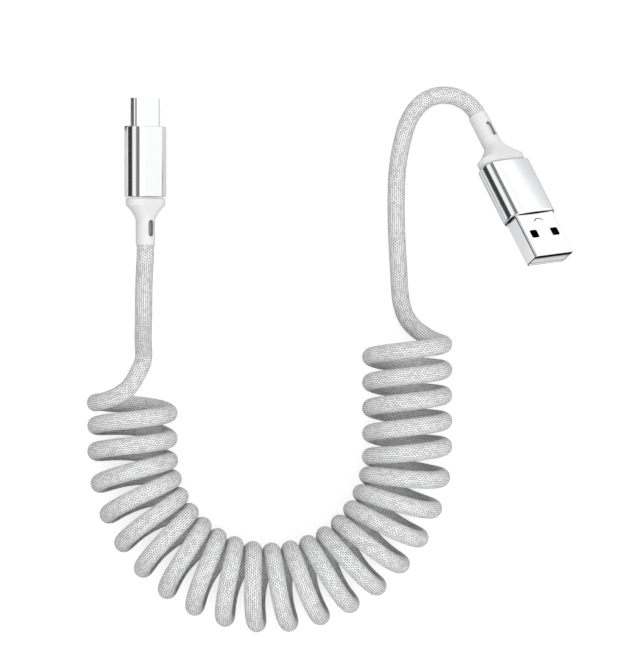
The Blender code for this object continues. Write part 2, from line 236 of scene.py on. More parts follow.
# A plug's space: rolled about y, then tipped up about x, then headed about z.
def spaceOf(name):
    place = plugPlaces[name]
    angles = [math.radians(place[key]) for key in ("tipUp", "roll", "heading")]
    turn = Euler((-angles[0], angles[1], angles[2]), "YXZ").to_matrix()
    return np.array(turn), np.array(place["front"])


spaceC = spaceOf("usbC")
spaceA = spaceOf("usbA")


cord = {
    "diameter": 0.0041,
    "rings": 2900,
    "sides": 32,
    "turnRadius": 0.00855,        # from the spring's axis to the cord's middle
    "bendRadius": 0.03224,        # of the spring's axis, at the bottom of the U
    "bendCentre": (-0.01859, -0.06301),
    "springStartY": -0.05125,     # where the outer side of the first turn is, on the left leg
    "pitch": 0.0060,              # from one turn to the next along the U
    "turns": 23,
    "startAngle": 210.0,          # of the wound part, 180 is the U's outer side
    "endAngle": 180.0,            # past the last full turn
    "pointsPerTurn": 24,
    # how far the under side of a turn lies back along the U, by the turn's number
    "lean": ((0, 0.0010), (2, 0.0011), (5, 0.0018), (14, 0.0019), (17, 0.0011), (19, 0.0005),
             (23, 0.0004)),
    # from a housing's front to where the cord comes free of the relief
    "reliefEndC": 0.01664 + 0.0003 + 0.0111 + 0.0003,
    "reliefEndA": 0.0141 + 0.0003 + 0.0140 + 0.0003,
    "hidden": 0.0004,             # the cord starts this far before that, inside the relief
    "straight": 0.0008,           # and is straight until this far past it
    "leftLead": (
        (-0.04810, -0.01960, 0.00420), (-0.04830, -0.02310, 0.00305), (-0.04840, -0.02720, 0.00270),
        (-0.04840, -0.03130, 0.00385), (-0.04840, -0.03480, 0.00670), (-0.04830, -0.03800, 0.01040),
        (-0.04810, -0.04040, 0.01400), (-0.04840, -0.04270, 0.01690), (-0.04940, -0.04490, 0.01850),
        (-0.05090, -0.04750, 0.01930), (-0.05330, -0.04965, 0.01910), (-0.05695, -0.05125, 0.01690),
        (-0.05940, -0.05180, 0.01210),
    ),
    "rightLead": (
        (0.02080, -0.03750, 0.00595), (0.01840, -0.03630, 0.00340), (0.01620, -0.03485, 0.00230),
        (0.01380, -0.03220, 0.00210), (0.01260, -0.02930, 0.00210), (0.01200, -0.02520, 0.00210),
        (0.01175, -0.02100, 0.00210), (0.01150, -0.01650, 0.00210), (0.01125, -0.01150, 0.00210),
        (0.01115, -0.00650, 0.00210), (0.01120, -0.00150, 0.00210), (0.01145, 0.00300, 0.00210),
        (0.01200, 0.00700, 0.00210), (0.01275, 0.01040, 0.00210), (0.01370, 0.01360, 0.00210),
        (0.01485, 0.01600, 0.00210), (0.01625, 0.01790, 0.00210), (0.01790, 0.01930, 0.00210),
        (0.01970, 0.02020, 0.00210), (0.02150, 0.02060, 0.00210), (0.02340, 0.02060, 0.00210),
        (0.02520, 0.02025, 0.00210), (0.02685, 0.01950, 0.00210), (0.02830, 0.01850, 0.00210),
    ),
    "leftUpTo": 0.036,            # metres from the USB-C end where the zero direction leaves up
    "rightFrom": 0.078,           # metres before the USB-A end where it goes to down
    "turnOver": 20,               # rings that each of these changes takes
}


def springHeight():   # of the spring's axis over the floor
    return cord["turnRadius"] + cord["diameter"] / 2


# The U's middle line by the distance walked along it: down the left leg, round half a circle, up
# the right leg. Gives the points and the directions that point out of the U.
def springAxis(walked):
    centreX, centreY = cord["bendCentre"]
    radius = cord["bendRadius"]
    leftLength = cord["springStartY"] - centreY
    bendLength = math.pi * radius
    angle = np.clip((walked - leftLength) / radius, 0, math.pi)
    x = centreX - radius * np.cos(angle)
    y = centreY - radius * np.sin(angle)
    y = y + np.maximum(leftLength - walked, 0) + np.maximum(walked - leftLength - bendLength, 0)
    outward = np.stack([-np.cos(angle), -np.sin(angle), np.zeros_like(angle)], axis=-1)
    return np.stack([x, y, np.full_like(x, springHeight())], axis=-1), outward


# Points of the winding: the U's middle line plus the turn's radius, swung round it by the angle.
# Under the middle line the distance walked lags by the lean times the square of the angle's sine,
# which comes in over the first half turn.
def windingPoints():
    first = math.radians(cord["startAngle"])
    last = math.radians(cord["endAngle"] + 360 * cord["turns"])
    count = round((last - first) / (2 * math.pi) * cord["pointsPerTurn"])
    angle = np.linspace(first, last, count + 1)
    under = np.clip(-np.sin(angle), 0, 1) ** 2 * np.clip((angle - first) / math.pi, 0, 1)
    lean = np.interp((angle - first) / (2 * math.pi), *zip(*cord["lean"]))
    walked = (angle - math.pi) / (2 * math.pi) * cord["pitch"] - lean * under
    middle, outward = springAxis(walked)
    up = np.array([0.0, 0.0, 1.0])
    swing = -outward * np.cos(angle)[:, None] + up * np.sin(angle)[:, None]
    return middle + cord["turnRadius"] * swing


# One smooth curve through all points: cubic pieces that share slope and bend where they meet,
# found by solving for the bends at the points, then walked in even steps. The length is summed
# over a fixed number of fine steps for each point.
def smoothCurve(points, count, fineSteps=20):
    gaps = np.linalg.norm(np.diff(points, axis=0), axis=1)
    knots = np.concatenate([[0], np.cumsum(gaps)])
    size = len(points)
    system = np.zeros((size, size))
    system[0, 0] = system[-1, -1] = 1
    inner = np.arange(1, size - 1)
    system[inner, inner - 1] = gaps[:-1]
    system[inner, inner] = 2 * (gaps[:-1] + gaps[1:])
    system[inner, inner + 1] = gaps[1:]
    slopes = np.diff(points, axis=0) / gaps[:, None]
    wanted = np.zeros_like(points)
    wanted[1:-1] = 6 * np.diff(slopes, axis=0)
    bends = np.linalg.solve(system, wanted)

    def at(place):
        k = np.clip(np.searchsorted(knots, place, side="right") - 1, 0, size - 2)
        gap = gaps[k][:, None]
        after = (place - knots[k])[:, None]
        before = gap - after
        curved = (bends[k] * before ** 3 + bends[k + 1] * after ** 3) / (6 * gap)
        low = (points[k] / gap - bends[k] * gap / 6) * before
        high = (points[k + 1] / gap - bends[k + 1] * gap / 6) * after
        return curved + low + high

    fine = np.linspace(0, knots[-1], fineSteps * size)
    walked = np.concatenate([[0], np.cumsum(np.linalg.norm(np.diff(at(fine), axis=0), axis=1))])
    even = np.interp(np.linspace(0, walked[-1], count), walked, fine)
    return at(even), walked[-1]


def cordRoute():
    ends = []
    for space, back in ((spaceC, cord["reliefEndC"]), (spaceA, cord["reliefEndA"])):
        local = np.array([[0, back - cord["hidden"], 0], [0, back + cord["straight"], 0]])
        ends.append(placed(local, space))
    parts = [ends[0], cord["leftLead"], windingPoints(), cord["rightLead"], ends[1][::-1]]
    return np.concatenate(parts)


# The tube: round each point of the route, a circle across the route. Its zero direction points
# up on the left lead, out of the spring's turns on the winding and down on the right lead.
def cordGrid(route):
    ahead = np.gradient(route, axis=0)
    ahead /= np.linalg.norm(ahead, axis=1)[:, None]
    centreX, centreY = cord["bendCentre"]
    side = np.where(route[:, 0] < centreX, -1.0, 1.0) * cord["bendRadius"]
    straightPart = np.stack([centreX + side, route[:, 1]], axis=-1)
    fromCentre = route[:, :2] - (centreX, centreY)
    stretch = cord["bendRadius"] / np.linalg.norm(fromCentre, axis=1)
    bentPart = (centreX, centreY) + fromCentre * stretch[:, None]
    axisXY = np.where((route[:, 1] > centreY)[:, None], straightPart, bentPart)
    radial = route - np.concatenate([axisXY, np.full((len(route), 1), springHeight())], axis=1)
    radial /= np.linalg.norm(radial, axis=1)[:, None]
    step = np.linalg.norm(np.diff(route, axis=0), axis=1).mean()
    leftRings = cord["leftUpTo"] / step
    rightRings = cord["rightFrom"] / step
    ring = np.arange(len(route))
    left = np.clip((leftRings - ring) / cord["turnOver"] + 0.5, 0, 1)
    right = np.clip((ring - (len(route) - rightRings)) / cord["turnOver"] + 0.5, 0, 1)
    up = np.array([0.0, 0.0, 1.0])
    aim = radial * (1 - left - right)[:, None] + up * (left - right)[:, None]
    aim -= ahead * np.sum(aim * ahead, axis=1)[:, None]
    aim /= np.linalg.norm(aim, axis=1)[:, None]
    across = np.cross(ahead, aim)
    angle = np.arange(cord["sides"]) / cord["sides"] * 2 * math.pi
    cosine, sine = np.cos(angle)[None, :, None], np.sin(angle)[None, :, None]
    circle = aim[:, None] * cosine + across[:, None] * sine
    return route[:, None] + cord["diameter"] / 2 * circle


braid = {
    "cellLength": 0.00064,                       # of one float along the cord
    "cellsRound": 26,
    "ridgePower": 0.55,                          # roundness across a float, lower is flatter
    "endsPower": 0.45,                           # and towards its ends
    "strands": 4,                                # fine ribs in a float
    "strandHeight": 0.05,
    "whiteChance": (0.1, 0.6),                   # below the first it is grey, past the second white
    "greyYarn": (0.71, 0.71, 0.715, 1),
    "whiteYarn": (0.98, 0.98, 0.98, 1),
    "gapPaintedShade": (0.17, 0.17, 0.175, 1),
    "shownFrom": (0.25, 0.75),                   # heights where the gaps' painted shade gives way
    "bump": 0.7,
    "bumpDistance": 0.00012,
    "roughness": (0.75, 0.42),                   # in the gaps, on the floats
    "sheen": 0.15,
}


# Braid: columns of slanted yarn floats, leaning one way and the other in turn. Across a yarn and
# towards both ends of a float the height falls off, and the low gaps between get a painted shade.
# The tone of each float, from grey to white, comes by chance.
def braidMaterial():
    material, tree, shader = newMaterial("cordBraid")
    uv = newNode(tree, "ShaderNodeUVMap", uv_map="braidUv")
    parts = newNode(tree, "ShaderNodeSeparateXYZ")
    tree.links.new(uv.outputs["UV"], parts.inputs[0])
    column = calc(tree, "MULTIPLY", parts.outputs["X"], braid["cellsRound"])
    along = calc(tree, "DIVIDE", parts.outputs["Y"], braid["cellLength"])
    leansBack = calc(tree, "MODULO", calc(tree, "FLOOR", column), 2.0)
    direction = calc(tree, "MULTIPLY_ADD", leansBack, -2.0, 1.0)
    yarn = calc(tree, "MULTIPLY_ADD", along, direction, column)
    acrossYarn = calc(tree, "FRACT", yarn)
    acrossColumn = calc(tree, "FRACT", column)
    ridge = calc(tree, "SINE", calc(tree, "MULTIPLY", acrossYarn, math.pi))
    ends = calc(tree, "SINE", calc(tree, "MULTIPLY", acrossColumn, math.pi))
    height = calc(tree, "MULTIPLY", calc(tree, "POWER", ridge, braid["ridgePower"]),
                  calc(tree, "POWER", ends, braid["endsPower"]))
    strands = calc(tree, "SINE", calc(tree, "MULTIPLY", acrossYarn, 2 * math.pi * braid["strands"]))
    fullHeight = calc(tree, "MULTIPLY_ADD", strands, braid["strandHeight"], height)

    number = calc(tree, "MULTIPLY_ADD", leansBack, 0.5, calc(tree, "FLOOR", yarn))
    cell = newNode(tree, "ShaderNodeCombineXYZ")
    tree.links.new(number, cell.inputs["X"])
    tree.links.new(calc(tree, "FLOOR", column), cell.inputs["Y"])
    chance = newNode(tree, "ShaderNodeTexWhiteNoise", noise_dimensions="2D")
    tree.links.new(cell.outputs[0], chance.inputs["Vector"])
    melange = rangeOf(tree, chance.outputs["Value"], *braid["whiteChance"], 0.0, 1.0)
    yarnColour = blendColour(tree, melange, braid["greyYarn"], braid["whiteYarn"])
    # painted shade in the low gaps between floats, fading out by height
    shown = rangeOf(tree, height, *braid["shownFrom"], 0.0, 1.0, smooth=True)
    colour = blendColour(tree, shown, braid["gapPaintedShade"], yarnColour)
    tree.links.new(colour, shader.inputs["Base Color"])
    bump = newNode(tree, "ShaderNodeBump")
    bump.inputs["Strength"].default_value = braid["bump"]
    bump.inputs["Distance"].default_value = braid["bumpDistance"]
    tree.links.new(fullHeight, bump.inputs["Height"])
    tree.links.new(bump.outputs["Normal"], shader.inputs["Normal"])
    tree.links.new(rangeOf(tree, height, 0.0, 1.0, *braid["roughness"]), shader.inputs["Roughness"])
    shader.inputs["Sheen Weight"].default_value = braid["sheen"]
    return material


def buildCord():
    route, length = smoothCurve(cordRoute(), cord["rings"])
    lengths = np.linspace(0, length, cord["rings"])
    grid = cordGrid(route)
    mesh = gridMesh("cord", grid, lengthUv=lengths)
    piece = addPiece("cord", mesh, braidMaterial(),
                     ("usb_c_lead", "spring_coil", "usb_a_lead"))
    return piece, route, length


cordPiece, cordRouteDone, cordLength = buildCord()
print("cord made, metres long:", round(cordLength, 3))


grain = {
    "detail": 2,
    "scuffScale": 260,
    "scuffDetail": 5,
    "bumpDistance": 0.00003,
    "speck": (0.35, 0.65, 0.6, 1.3),   # grain from and to, brightness of the painted shade from and to
}


# Faint scuffs and a fine grain: a wide noise that varies the roughness and a fine one that gives
# the height.
def makeGrainGroup():
    group = bpy.data.node_groups.new("surfaceGrain", "ShaderNodeTree")
    sockets = group.interface
    sockets.new_socket("Vector", in_out="INPUT", socket_type="NodeSocketVector")
    for label, value in (("Grain Size", 4000.0), ("Roughness", 0.2), ("Variation", 0.05)):
        sockets.new_socket(label, in_out="INPUT", socket_type="NodeSocketFloat").default_value = value
    sockets.new_socket("Roughness", in_out="OUTPUT", socket_type="NodeSocketFloat")
    sockets.new_socket("Height", in_out="OUTPUT", socket_type="NodeSocketFloat")
    given = newNode(group, "NodeGroupInput")
    result = newNode(group, "NodeGroupOutput")
    fine = newNode(group, "ShaderNodeTexNoise")
    fine.inputs["Detail"].default_value = grain["detail"]
    group.links.new(given.outputs["Vector"], fine.inputs["Vector"])
    group.links.new(given.outputs["Grain Size"], fine.inputs["Scale"])
    wide = newNode(group, "ShaderNodeTexNoise")
    wide.inputs["Scale"].default_value = grain["scuffScale"]
    wide.inputs["Detail"].default_value = grain["scuffDetail"]
    group.links.new(given.outputs["Vector"], wide.inputs["Vector"])
    spread = calc(group, "SUBTRACT", wide.outputs["Fac"], 0.5)
    rough = calc(group, "MULTIPLY_ADD", spread, given.outputs["Variation"],
                 given.outputs["Roughness"], clamp=True)
    group.links.new(rough, result.inputs["Roughness"])
    group.links.new(fine.outputs["Fac"], result.inputs["Height"])
    return group


surfaceGrain = makeGrainGroup()

finishes = {
    "polishedMetal": {"colour": (0.93, 0.935, 0.94), "metallic": 1.0, "roughness": 0.13,
                      "variation": 0.06, "grainSize": 5000, "bump": 0.02},
    "stampedMetal": {"colour": (0.95, 0.955, 0.96), "metallic": 1.0, "roughness": 0.05,
                     "variation": 0.06, "grainSize": 5000, "bump": 0.03},
    "satinWhite": {"colour": (0.72, 0.72, 0.725), "metallic": 0.0, "roughness": 0.42,
                   "variation": 0.10, "grainSize": 7000, "bump": 0.08},
    "blackPlasticAndPaintedShade": {"colour": (0.010, 0.010, 0.010), "metallic": 0.0, "roughness": 0.5,
                     "variation": 0.10, "grainSize": 7000, "bump": 0.08},
    "greyPlastic": {"colour": (0.80, 0.80, 0.80), "metallic": 0.0, "roughness": 0.5,
                    "variation": 0.10, "grainSize": 7000, "bump": 0.08},
    "giltContact": {"colour": (0.83, 0.60, 0.25), "metallic": 1.0, "roughness": 0.22,
                    "variation": 0.10, "grainSize": 6000, "bump": 0.03},
}


# Grain and scuffs of one finish. Where a piece marks painted shade in its attribute, from 0 to 1,
# the colour goes to a dark one there: painted shade at the bottom of a slot, or on a tongue and its
# contacts deep inside their shell.
def finishMaterial(name, paintedShadeColour=None):
    values = finishes[name]
    material, tree, shader = newMaterial(name if paintedShadeColour is None else name + "WithPaintedShade")
    place = newNode(tree, "ShaderNodeTexCoord")
    effect = newNode(tree, "ShaderNodeGroup", node_tree=surfaceGrain)
    tree.links.new(place.outputs["Object"], effect.inputs["Vector"])
    for label, key in (("Grain Size", "grainSize"), ("Roughness", "roughness"),
                       ("Variation", "variation")):
        effect.inputs[label].default_value = values[key]
    tree.links.new(effect.outputs["Roughness"], shader.inputs["Roughness"])
    bump = newNode(tree, "ShaderNodeBump")
    bump.inputs["Strength"].default_value = values["bump"]
    bump.inputs["Distance"].default_value = grain["bumpDistance"]
    tree.links.new(effect.outputs["Height"], bump.inputs["Height"])
    tree.links.new(bump.outputs["Normal"], shader.inputs["Normal"])
    shader.inputs["Base Color"].default_value = (*values["colour"], 1)
    shader.inputs["Metallic"].default_value = values["metallic"]
    if paintedShadeColour is not None:
        paintedShade = newNode(tree, "ShaderNodeAttribute", attribute_name="paintedShade")
        speck = rangeOf(tree, effect.outputs["Height"], *grain["speck"])
        dark = newNode(tree, "ShaderNodeVectorMath", operation="SCALE")
        dark.inputs[0].default_value = paintedShadeColour
        tree.links.new(speck, dark.inputs["Scale"])
        shown = blendColour(tree, paintedShade.outputs["Fac"], (*values["colour"], 1), dark.outputs[0])
        tree.links.new(shown, shader.inputs["Base Color"])
    return material


finished = {name: finishMaterial(name) for name in finishes}
# Copies that darken to a painted shade where a piece marks it: the slots' floors and walls, and the
# USB-A tongue and contacts deep in their shell.
finished["slottedWhite"] = finishMaterial("satinWhite", (0.12, 0.12, 0.125))
finished["shadedTongue"] = finishMaterial("greyPlastic", (0.006, 0.006, 0.006))
finished["shadedContact"] = finishMaterial("giltContact", (0.012, 0.009, 0.005))
print("finishes made")


# Housings and shells: sleeves between an outer and an inner ring of (width, height, corner).
housing = {"frontEdge": 0.0003, "backEdge": 0.0002, "pocketEdge": 0.00008,
           "backShare": 0.8,         # how far in the back starts, from the outer ring to the inner
           "pocketFrom": 0.00003}    # metres behind the front where the pocket's black, a painted shade, starts
housingC = {"outer": (0.011, 0.006, 0.003), "pocket": (0.00885, 0.0030, 0.0015), "front": 0,
            "length": 0.01664, "pocketDepth": 0.002, "crown": (0, 0)}
housingA = {"outer": (0.0145, 0.0067, 0.0022), "pocket": (0.0131, 0.0056, 0.0010), "front": -0.0004,
            "length": 0.0141, "pocketDepth": 0.0025, "crown": (0.08, 0.13)}
shellC = {"outer": (0.00825, 0.0024, 0.0012), "wall": 0.00025, "tip": -0.00665, "root": 0.0017,
          "edge": 0.0001}


# From the back's inner part, round the back edge, along the outside, round the front edge and
# down into the pocket that holds the shell. The pocket is drawn black as a painted shade in the
# gap round the shell, and the hidden inner part of the back is black too.
def buildHousing(name, values, space, node):
    gap = (values["outer"][1] - values["pocket"][1]) / 2
    front, back = values["front"], values["length"]
    corners = ((back, housing["backShare"], 0), (back, 0, housing["backEdge"]),
               (front, 0, housing["frontEdge"]), (front, 1, housing["pocketEdge"]),
               (values["pocketDepth"], 1, 0))
    profile = roundedProfile(corners, gap)
    rows = sleeveRows(profile, values["outer"], values["pocket"])
    grid = placed(loftGrid(rows, crown=values["crown"]), space)
    mesh = gridMesh(name, grid)
    piece = addPiece(name, mesh, finished["polishedMetal"], (node,))
    mesh.materials.append(finished["blackPlasticAndPaintedShade"])
    columns = grid.shape[1]
    # painted shade: the pocket's rows take the black from just behind the front
    deepFrom = front + housing["pocketFrom"]
    paintedShadeRows = (profile[:-1, 0] > deepFrom) & (profile[:-1, 1] > 0.5)
    slots = np.zeros(len(mesh.polygons), dtype=np.int32)
    slots[:columns * (len(rows) - 1)] = np.repeat(paintedShadeRows, columns)
    slots[-1] = 1
    mesh.polygons.foreach_set("material_index", slots)
    return piece


# Once round the wall: along the outside to the tip, over its lip and back along the inside.
def buildShellC():
    width, height, corner = shellC["outer"]
    wall, tip, root, edge = (shellC[key] for key in ("wall", "tip", "root", "edge"))
    inner = (width - 2 * wall, height - 2 * wall, corner - wall)
    corners = ((root, 0, edge / 2), (tip, 0, edge), (tip, 1, edge), (root, 1, edge / 2))
    rows = sleeveRows(roundedProfile(corners, wall, closed=True), shellC["outer"], inner)
    grid = placed(loftGrid(rows, shortSteps=0), spaceC)
    mesh = gridMesh("usbCShell", grid, looped=True)
    return addPiece("usbCShell", mesh, finished["stampedMetal"], ("usb_c_shell",))


relief = {
    "neck": 0.0046, "neckEdge": 0.0003, "taperPower": 1.5, "around": 144,
    "slotLength": 0.0038, "slotWidth": 0.0015, "slotDepth": 0.0007, "slotEdge": 0.0001,
    "edgeSteps": 6, "taperSteps": 40, "rowStep": 0.00008, "endRounding": 0.7,
    "wallReach": 0.00038, "wallBlend": 0.00012,   # of the painted shade along the slot's wall
}
reliefC = {"start": 0.01694, "rim": (0.0104, 0.0055), "rimEdge": 0.0003, "rimLength": 0.0016,
           "taper": 0.0037, "neckLength": 0.0058, "slotFromEnd": 0.0021,
           "shadedSide": -1, "floorShade": 0.82}
reliefA = {"start": 0.0144, "rim": (0.0131, 0.0056), "rimEdge": 0.0003, "rimLength": 0.0018,
           "taper": 0.0039, "neckLength": 0.0083, "slotFromEnd": 0.0030,
           "shadedSide": 1, "floorShade": 0.15}


# How far a rectangle with round ends reaches from its middle, at each angle: to its flat side
# where the ray meets that, else to the half circle at its end.
def ovalReach(width, height, angle):
    radius, half = height / 2, (width - height) / 2
    c, s = np.abs(np.cos(angle)), np.abs(np.sin(angle))
    flat = radius / np.maximum(s, 1e-9)
    end = half * c + np.sqrt(np.maximum(radius ** 2 - (half * s) ** 2, 0))
    return np.where(flat * c <= half, flat, end)


# An oval rim that narrows by a power curve to a round neck. The slot is pressed into the neck:
# inside its outline the surface sinks to a flat floor, with a short slope at the outline. The
# floor gets painted shade, and so does the wall on one side and at one end.
def buildRelief(name, values, space, node):
    start, rimEnd = values["start"], values["start"] + values["rimLength"]
    taperEnd = rimEnd + values["taper"]
    end = taperEnd + values["neckLength"]
    quarter = np.linspace(0, math.pi / 2, relief["edgeSteps"])
    rimY = start + values["rimEdge"] * (1 - np.cos(quarter))
    rimIn = values["rimEdge"] * (1 - np.sin(quarter))
    taperY = np.linspace(rimEnd, taperEnd, relief["taperSteps"])
    neckY = np.arange(taperEnd + relief["rowStep"], end - relief["neckEdge"], relief["rowStep"])
    endY = end - relief["neckEdge"] * (1 - np.sin(quarter))
    endIn = relief["neckEdge"] * (1 - np.cos(quarter)) * relief["endRounding"]
    y = np.concatenate([rimY, taperY, neckY, endY])
    inset = np.concatenate([rimIn, np.zeros(len(taperY) + len(neckY)), endIn])
    left = np.clip((taperEnd - y) / values["taper"], 0, 1) ** relief["taperPower"]
    width = relief["neck"] + (values["rim"][0] - relief["neck"]) * left - 2 * inset
    height = relief["neck"] + (values["rim"][1] - relief["neck"]) * left - 2 * inset
    angle = np.arange(relief["around"]) / relief["around"] * 2 * math.pi
    reach = ovalReach(width[:, None], height[:, None], angle[None])
    x, z = reach * np.cos(angle), reach * np.sin(angle)
    slotMiddle = end - values["slotFromEnd"] - relief["slotLength"] / 2
    straight = (relief["slotLength"] - relief["slotWidth"]) / 2
    beside = np.maximum(np.abs(y - slotMiddle) - straight, 0)[:, None]
    outside = np.hypot(x, beside) - relief["slotWidth"] / 2
    sunk = eased(np.clip(0.5 - outside / relief["slotEdge"], 0, 1) * (z > 0))
    # Painted shade: the floor darkens by the floor shade, and the wall on the shaded side and at the
    # far end fully.
    wall = np.clip((outside + relief["wallReach"]) / relief["wallBlend"], 0, 1) * sunk
    shaded = (x * values["shadedSide"] > 0) | ((y - slotMiddle)[:, None] > straight)
    dark = np.maximum(sunk * values["floorShade"], wall * shaded)
    z = z + (relief["neck"] / 2 - relief["slotDepth"] - z) * sunk
    grid = np.stack([x, np.broadcast_to(y[:, None], x.shape), z], axis=-1)[:, ::-1]
    mesh = gridMesh(name, placed(grid, space))
    mesh.attributes.new("paintedShade", "FLOAT", "POINT").data.foreach_set("value", dark[:, ::-1].ravel())
    return addPiece(name, mesh, finished["slottedWhite"], (node,))


# Many bars of one form in one mesh: an array of bars by rows by columns, with a cap at each end.
def barsMesh(name, grids):
    count, rows, columns = grids.shape[:3]
    index = np.arange(count * rows * columns).reshape(count, rows, columns)
    here, there = index[:, :-1], index[:, 1:]
    quads = np.stack([here, there, np.roll(there, -1, axis=2), np.roll(here, -1, axis=2)], axis=-1)
    faces = quads.reshape(-1, 4).tolist() + index[:, 0].tolist() + index[:, -1, ::-1].tolist()
    mesh = bpy.data.meshes.new(name)
    mesh.from_pydata(grids.reshape(-1, 3), [], faces)
    smoothFaces(mesh)
    return mesh


contactsC = {"pitch": 0.0005, "perRow": 12, "width": 0.00026, "thickness": 0.00006, "front": -0.0052,
             "back": -0.0019, "level": 0.00034, "bow": 0.00009, "roundness": 0.4, "steps": 13}
contactsA = {"places": (-0.0035, -0.001, 0.001, 0.0035), "width": 0.001, "thickness": 0.0002,
             "fronts": (-0.01055, -0.00955, -0.00955, -0.01055), "back": -0.00315, "level": 0.00029,
             "corner": 0.00006, "steps": 24, "darkFrom": -0.0098, "darkTo": -0.0082}
tongueA = {"halfWidth": 0.00558, "top": 0.00183, "shelf": 0.00007, "front": -0.01135, "step": -0.00285,
           "root": 0.0022, "edge": 0.0001, "darkFrom": -0.0098, "darkTo": -0.0082,
           "flatHalf": 0.0054, "steps": 25, "edgeSteps": 5, "shelfBehind": 0.00002,
           "shelfBelow": 0.00004, "upperFrom": -0.0011, "upperOver": 0.0013, "upperShade": 0.35}


# Springy strips in both walls of the cavity: bars whose height is the level less a sine bow.
def buildContactsC():
    v = contactsC
    along = np.linspace(0, 1, v["steps"])
    y = v["front"] + (v["back"] - v["front"]) * along
    bar = loftGrid([(each, v["width"], v["thickness"], v["thickness"] * v["roundness"]) for each in y],
                   arcSteps=3, longSteps=2, shortSteps=0)
    place = (np.arange(v["perRow"]) - (v["perRow"] - 1) / 2) * v["pitch"]
    grids = np.repeat(bar[None], 2 * v["perRow"], axis=0)
    grids[..., 0] += np.tile(place, 2)[:, None, None]
    side = np.repeat([1.0, -1.0], v["perRow"])[:, None, None]
    grids[..., 2] += side * (v["level"] - v["bow"] * np.sin(math.pi * along)[None, :, None])
    mesh = barsMesh("usbCContacts", placed(grids, spaceC))
    return addPiece("usbCContacts", mesh, finished["giltContact"])


# How much painted shade a point inside the USB-A shell gets: an eased share of the way between two
# depths y.
def inShade(y, values):
    return eased(np.clip((y - values["darkFrom"]) / (values["darkTo"] - values["darkFrom"]), 0, 1))


# Four flat strips on the tongue: bars between each one's front and their common back.
def buildContactsA():
    v = contactsA
    along = np.linspace(0, 1, v["steps"])
    bar = loftGrid([(each, v["width"], v["thickness"], v["corner"]) for each in along],
                   arcSteps=4, longSteps=4, shortSteps=0)
    grids = np.repeat(bar[None], len(v["places"]), axis=0)
    front = np.array(v["fronts"])[:, None, None]
    grids[..., 0] += np.array(v["places"])[:, None, None]
    grids[..., 1] = front + (v["back"] - front) * grids[..., 1]
    grids[..., 2] += v["level"]
    mesh = barsMesh("usbAContacts", placed(grids, spaceA))
    # painted shade: the strips darken deeper inside the shell
    dark = inShade(grids[..., 1], v)
    mesh.attributes.new("paintedShade", "FLOAT", "POINT").data.foreach_set("value", dark.ravel())
    nodes = tuple(f"usb_a_contact_{number}" for number in (1, 2, 3, 4))
    return addPiece("usbAContacts", mesh, finished["shadedContact"], nodes)


# A stepped outline in y and z, its corners rounded, drawn out along x. Its last rows shrink along
# the outline's own normals by the edge less a quarter circle. The shelf gets painted shade, and
# the rest a little, more towards its top, all of it dark deep inside the shell.
def buildTongueA():
    v = tongueA
    edge, top = v["edge"], v["top"]
    corners = ((v["root"], -top, edge), (v["root"], top, edge), (v["step"], top, edge),
               (v["step"], v["shelf"], edge), (v["front"], v["shelf"], 2 * edge),
               (v["front"], -top, 2 * edge))
    outline = roundedProfile(corners, 1.0, closed=True, spacing=0.0004)
    along = np.roll(outline, -1, axis=0) - np.roll(outline, 1, axis=0)
    inward = np.stack([along[:, 1], -along[:, 0]], axis=-1)
    inward /= np.linalg.norm(inward, axis=1)[:, None]
    quarter = np.linspace(0, math.pi / 2, v["edgeSteps"])
    x = np.concatenate([-v["halfWidth"] + edge * (1 - np.cos(quarter)),
                        np.linspace(-v["flatHalf"], v["flatHalf"], v["steps"]),
                        v["halfWidth"] - edge * (1 - np.cos(quarter[::-1]))])
    inset = np.concatenate([edge * (1 - np.sin(quarter)), np.zeros(v["steps"]),
                            edge * (1 - np.sin(quarter[::-1]))])
    sides = outline[None] + inward[None] * inset[:, None, None]
    grid = np.concatenate([np.broadcast_to(x[:, None, None], sides[..., :1].shape), sides], axis=-1)
    mesh = gridMesh("usbATongue", placed(grid, spaceA))
    y, z = grid[..., 1], grid[..., 2]
    # painted shade on the tongue: rising towards its top, full on the shelf and deep inside the shell
    upper = np.clip((z - v["upperFrom"]) / v["upperOver"], 0, 1) * v["upperShade"]
    onShelf = (z > v["shelf"] - v["shelfBelow"]) & (y > v["front"] + v["shelfBehind"])
    dark = np.maximum(inShade(y, v), np.where(onShelf, 1, upper))
    mesh.attributes.new("paintedShade", "FLOAT", "POINT").data.foreach_set("value", dark.ravel())
    return addPiece("usbATongue", mesh, finished["shadedTongue"], ("usb_a_tongue",))


buildHousing("usbCHousing", housingC, spaceC, "usb_c_housing")
buildShellC()
buildRelief("usbCRelief", reliefC, spaceC, "usb_c_relief")
housingPieceA = buildHousing("usbAHousing", housingA, spaceA, "usb_a_housing")
reliefPieceA = buildRelief("usbARelief", reliefA, spaceA, "usb_a_relief")
buildContactsC()
contactPieceA = buildContactsA()
tonguePieceA = buildTongueA()
print("plugs made")

for node, finish in (("usb_c_insulator", "blackPlasticAndPaintedShade"), ("usb_a_shell", "stampedMetal")):
    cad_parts[node].data.materials.clear()
    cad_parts[node].data.materials.append(finished[finish])


